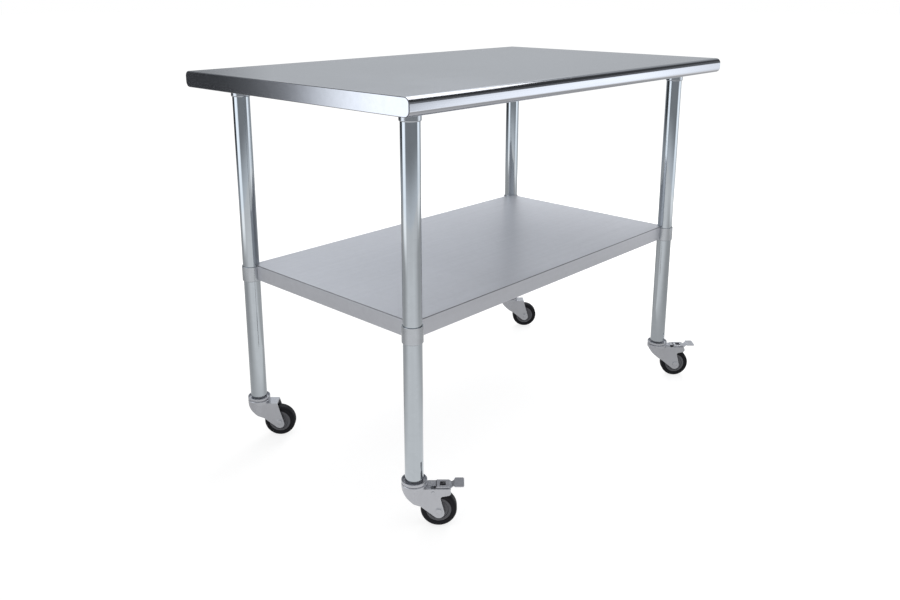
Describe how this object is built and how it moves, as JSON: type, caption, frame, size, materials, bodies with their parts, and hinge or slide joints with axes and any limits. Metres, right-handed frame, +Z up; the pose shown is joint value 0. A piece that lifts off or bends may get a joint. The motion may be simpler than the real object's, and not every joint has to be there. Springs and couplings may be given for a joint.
{
  "type": "mobile stainless work table",
  "caption": "Work table on swivel casters: folded stainless worktop with rolled long edges, round tube legs and a sheet undershelf that slides on the legs; the front casters have foot brakes.",
  "frame": {"origin": "on the floor, under the middle of the worktop", "axes": "+X along the length, to the right seen from the front; +Y to the back, away from the braked casters; +Z up"},
  "size_m": [1.219, 0.762, 0.956],
  "materials": {
    "stainless_top": "brushed stainless sheet, grain along the length",
    "galvanised_channel": "galvanised sheet, dull",
    "leg_tube": "bright galvanised tube, lengthwise streaks",
    "shelf_sheet": "satin galvanised sheet",
    "cast_socket": "die cast, satin",
    "zinc_plate": "pressed steel with bright zinc plate",
    "plain_steel": "turned steel",
    "grey_core": "moulded dark grey plastic with turned rings",
    "black_tyre": "smooth black rubber"
  },
  "bodies": {
    "table": {"worktop": "stainless_top", "end_channel_left": "galvanised_channel", "end_channel_right": "galvanised_channel", "centre_channel": "galvanised_channel", "leg_front_left": "leg_tube", "leg_socket_front_left": "cast_socket", "socket_screw_front_left": "plain_steel", "caster_stem_front_left": "plain_steel", "swivel_cup_front_left": "zinc_plate", "leg_front_right": "leg_tube", "leg_socket_front_right": "cast_socket", "socket_screw_front_right": "plain_steel", "caster_stem_front_right": "plain_steel", "swivel_cup_front_right": "zinc_plate", "leg_rear_right": "leg_tube", "leg_socket_rear_right": "cast_socket", "socket_screw_rear_right": "plain_steel", "caster_stem_rear_right": "plain_steel", "swivel_cup_rear_right": "zinc_plate", "leg_rear_left": "leg_tube", "leg_socket_rear_left": "cast_socket", "socket_screw_rear_left": "plain_steel", "caster_stem_rear_left": "plain_steel", "swivel_cup_rear_left": "zinc_plate"},
    "shelf": {"undershelf": "shelf_sheet", "shelf_channel": "galvanised_channel", "shelf_socket_front_left": "cast_socket", "shelf_screw_front_left": "plain_steel", "shelf_socket_front_right": "cast_socket", "shelf_screw_front_right": "plain_steel", "shelf_socket_rear_right": "cast_socket", "shelf_screw_rear_right": "plain_steel", "shelf_socket_rear_left": "cast_socket", "shelf_screw_rear_left": "plain_steel"},
    "fork_front_left": {"caster_fork_front_left": "zinc_plate", "axle_front_left": "zinc_plate", "hub_sleeve_front_left": "plain_steel", "brake_pin_front_left": "zinc_plate", "brake_spring_front_left": "zinc_plate"},
    "fork_front_right": {"caster_fork_front_right": "zinc_plate", "axle_front_right": "zinc_plate", "hub_sleeve_front_right": "plain_steel", "brake_pin_front_right": "zinc_plate", "brake_spring_front_right": "zinc_plate"},
    "fork_rear_right": {"caster_fork_rear_right": "zinc_plate", "axle_rear_right": "zinc_plate", "hub_sleeve_rear_right": "plain_steel"},
    "fork_rear_left": {"caster_fork_rear_left": "zinc_plate", "axle_rear_left": "zinc_plate", "hub_sleeve_rear_left": "plain_steel"},
    "wheel_front_left": {"tyre_front_left": "black_tyre", "wheel_core_front_left": "grey_core"},
    "wheel_front_right": {"tyre_front_right": "black_tyre", "wheel_core_front_right": "grey_core"},
    "wheel_rear_right": {"tyre_rear_right": "black_tyre", "wheel_core_rear_right": "grey_core"},
    "wheel_rear_left": {"tyre_rear_left": "black_tyre", "wheel_core_rear_left": "grey_core"},
    "pedal_front_left": {"brake_pedal_front_left": "zinc_plate"},
    "pedal_front_right": {"brake_pedal_front_right": "zinc_plate"}
  },
  "joints": [
    {"name": "shelf_slide", "type": "slide", "parent": "table", "child": "shelf", "axis": [0, 0, 1], "range_m": [-0.28, 0.4]},
    {"name": "swivel_front_left", "type": "hinge", "parent": "table", "child": "fork_front_left", "pos_m": [-0.519, -0.2905, 0.1], "axis": [0, 0, 1], "continuous": true},
    {"name": "swivel_front_right", "type": "hinge", "parent": "table", "child": "fork_front_right", "pos_m": [0.519, -0.2905, 0.1], "axis": [0, 0, 1], "continuous": true},
    {"name": "swivel_rear_right", "type": "hinge", "parent": "table", "child": "fork_rear_right", "pos_m": [0.519, 0.2905, 0.1], "axis": [0, 0, 1], "continuous": true},
    {"name": "swivel_rear_left", "type": "hinge", "parent": "table", "child": "fork_rear_left", "pos_m": [-0.519, 0.2905, 0.1], "axis": [0, 0, 1], "continuous": true},
    {"name": "wheel_spin_front_left", "type": "hinge", "parent": "fork_front_left", "child": "wheel_front_left", "pos_m": [-0.48265, -0.32948, 0.04], "axis": [0.7314, 0.682, 0], "continuous": true},
    {"name": "wheel_spin_front_right", "type": "hinge", "parent": "fork_front_right", "child": "wheel_front_right", "pos_m": [0.55535, -0.32948, 0.04], "axis": [0.7314, 0.682, 0], "continuous": true},
    {"name": "wheel_spin_rear_right", "type": "hinge", "parent": "fork_rear_right", "child": "wheel_rear_right", "pos_m": [0.55535, 0.25152, 0.04], "axis": [0.7314, 0.682, 0], "continuous": true},
    {"name": "wheel_spin_rear_left", "type": "hinge", "parent": "fork_rear_left", "child": "wheel_rear_left", "pos_m": [-0.48265, 0.25152, 0.04], "axis": [0.7314, 0.682, 0], "continuous": true},
    {"name": "brake_front_left", "type": "hinge", "parent": "fork_front_left", "child": "pedal_front_left", "pos_m": [-0.49104, -0.32049, 0.085], "axis": [0.7314, 0.682, 0], "range_deg": [0, 9]},
    {"name": "brake_front_right", "type": "hinge", "parent": "fork_front_right", "child": "pedal_front_right", "pos_m": [0.54696, -0.32049, 0.085], "axis": [0.7314, 0.682, 0], "range_deg": [0, 9]}
  ]
}
